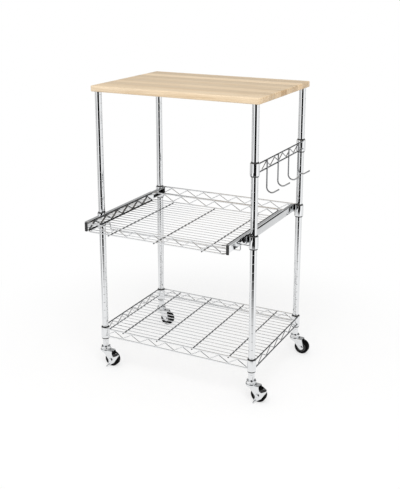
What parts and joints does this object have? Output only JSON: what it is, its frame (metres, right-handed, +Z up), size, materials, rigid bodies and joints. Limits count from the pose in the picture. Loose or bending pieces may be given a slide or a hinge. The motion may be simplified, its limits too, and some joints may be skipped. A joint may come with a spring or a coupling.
{
  "type": "kitchen island cart",
  "caption": "Rolling kitchen island cart: wooden worktop on grooved chromed posts, wire shelf, pull-out wire tray on roller slides, side hook rack and swivel casters.",
  "frame": {"origin": "on the floor, midway between the axes of the four posts", "axes": "+X to the right along the worktop's length, -Y to the front where the tray pulls out, +Z up along the posts"},
  "size_m": [0.561, 0.4823, 0.866],
  "materials": {
    "wood": "satin",
    "chrome": "polished",
    "zinc": "satin",
    "brass": "satin",
    "black_plastic": "matte",
    "nylon": "matte",
    "rubber": "matte",
    "tyre": "satin",
    "hub_plastic": "satin"
  },
  "bodies": {
    "frame": {"worktop_board": "wood", "board_inserts": "brass", "post_end_plugs": "zinc", "post_front_left": "chrome", "post_front_right": "chrome", "post_rear_left": "chrome", "post_rear_right": "chrome", "shelf_collars": "chrome", "shelf_sleeves_left": "black_plastic", "shelf_sleeves_right": "black_plastic", "drawer_frame_collars": "chrome", "drawer_frame_sleeves_left": "black_plastic", "drawer_frame_sleeves_right": "black_plastic", "hook_rack_collars": "chrome", "hook_rack_sleeves": "black_plastic", "shelf_front_and_rear_trusses": "chrome", "shelf_side_trusses": "chrome", "shelf_mat": "chrome", "drawer_frame_rear_truss": "chrome", "drawer_frame_front_tie": "chrome", "slide_channel_left": "zinc", "slide_channel_right": "zinc", "channel_end_stops": "rubber", "front_roller_pins": "zinc", "hook_rack_truss": "chrome", "hooks": "chrome", "caster_stems": "chrome", "swivel_ball_rings": "zinc"},
    "tray": {"tray_front_truss": "chrome", "tray_rear_truss": "chrome", "tray_side_trusses": "chrome", "tray_mat": "chrome", "slide_rail_left": "zinc", "slide_rail_right": "zinc", "rail_end_caps": "black_plastic", "rear_roller_pins": "zinc"},
    "front_roller_left": {"front_roller_left": "nylon"},
    "rear_roller_left": {"rear_roller_left": "nylon"},
    "front_roller_right": {"front_roller_right": "nylon"},
    "rear_roller_right": {"rear_roller_right": "nylon"},
    "fork_front_left": {"caster_fork_front_left": "chrome", "wheel_axle_front_left": "chrome"},
    "wheel_front_left": {"wheel_tyre_front_left": "tyre", "wheel_hub_front_left": "hub_plastic"},
    "fork_front_right": {"caster_fork_front_right": "chrome", "wheel_axle_front_right": "chrome"},
    "wheel_front_right": {"wheel_tyre_front_right": "tyre", "wheel_hub_front_right": "hub_plastic"},
    "fork_rear_left": {"caster_fork_rear_left": "chrome", "wheel_axle_rear_left": "chrome"},
    "wheel_rear_left": {"wheel_tyre_rear_left": "tyre", "wheel_hub_rear_left": "hub_plastic"},
    "fork_rear_right": {"caster_fork_rear_right": "chrome", "wheel_axle_rear_right": "chrome"},
    "wheel_rear_right": {"wheel_tyre_rear_right": "tyre", "wheel_hub_rear_right": "hub_plastic"},
    "brake_front_left": {"brake_lever_front_left": "chrome", "brake_pad_front_left": "black_plastic"},
    "brake_front_right": {"brake_lever_front_right": "chrome", "brake_pad_front_right": "black_plastic"}
  },
  "joints": [
    {"name": "drawer_slide", "type": "slide", "parent": "frame", "child": "tray", "axis": [0, -1, 0], "range_m": [-0.085, 0.165]},
    {"name": "front_roller_left_spin", "type": "hinge", "parent": "frame", "child": "front_roller_left", "pos_m": [-0.2268, -0.189, 0.48065], "axis": [1, 0, 0], "range_deg": [-460, 890]},
    {"name": "rear_roller_left_spin", "type": "hinge", "parent": "tray", "child": "rear_roller_left", "pos_m": [-0.2268, 0.058, 0.47895], "axis": [1, 0, 0], "range_deg": [-515, 1000]},
    {"name": "front_roller_right_spin", "type": "hinge", "parent": "frame", "child": "front_roller_right", "pos_m": [0.2268, -0.189, 0.48065], "axis": [1, 0, 0], "range_deg": [-460, 890]},
    {"name": "rear_roller_right_spin", "type": "hinge", "parent": "tray", "child": "rear_roller_right", "pos_m": [0.2268, 0.058, 0.47895], "axis": [1, 0, 0], "range_deg": [-515, 1000]},
    {"name": "caster_swivel_front_left", "type": "hinge", "parent": "frame", "child": "fork_front_left", "pos_m": [-0.245, -0.173, 0.05], "axis": [0, 0, 1], "continuous": true},
    {"name": "wheel_spin_front_left", "type": "hinge", "parent": "fork_front_left", "child": "wheel_front_left", "pos_m": [-0.2205, -0.173, 0.0225], "axis": [0, 1, 0], "continuous": true},
    {"name": "caster_swivel_front_right", "type": "hinge", "parent": "frame", "child": "fork_front_right", "pos_m": [0.245, -0.173, 0.05], "axis": [0, 0, 1], "continuous": true},
    {"name": "wheel_spin_front_right", "type": "hinge", "parent": "fork_front_right", "child": "wheel_front_right", "pos_m": [0.2695, -0.173, 0.0225], "axis": [0, 1, 0], "continuous": true},
    {"name": "caster_swivel_rear_left", "type": "hinge", "parent": "frame", "child": "fork_rear_left", "pos_m": [-0.245, 0.173, 0.05], "axis": [0, 0, 1], "continuous": true},
    {"name": "wheel_spin_rear_left", "type": "hinge", "parent": "fork_rear_left", "child": "wheel_rear_left", "pos_m": [-0.2205, 0.173, 0.0225], "axis": [0, 1, 0], "continuous": true},
    {"name": "caster_swivel_rear_right", "type": "hinge", "parent": "frame", "child": "fork_rear_right", "pos_m": [0.245, 0.173, 0.05], "axis": [0, 0, 1], "continuous": true},
    {"name": "wheel_spin_rear_right", "type": "hinge", "parent": "fork_rear_right", "child": "wheel_rear_right", "pos_m": [0.2695, 0.173, 0.0225], "axis": [0, 1, 0], "continuous": true},
    {"name": "brake_lever_front_left_turn", "type": "hinge", "parent": "fork_front_left", "child": "brake_front_left", "pos_m": [-0.2205, -0.1867, 0.0225], "axis": [0, 1, 0], "range_deg": [0, 25]},
    {"name": "brake_lever_front_right_turn", "type": "hinge", "parent": "fork_front_right", "child": "brake_front_right", "pos_m": [0.2695, -0.1867, 0.0225], "axis": [0, 1, 0], "range_deg": [0, 25]}
  ],
  "couplings": [
    {"joint": "front_roller_left_spin", "follows": "drawer_slide", "rad_per_m": 93.458},
    {"joint": "rear_roller_left_spin", "follows": "drawer_slide", "rad_per_m": 105.26},
    {"joint": "front_roller_right_spin", "follows": "drawer_slide", "rad_per_m": 93.458},
    {"joint": "rear_roller_right_spin", "follows": "drawer_slide", "rad_per_m": 105.26}
  ]
}
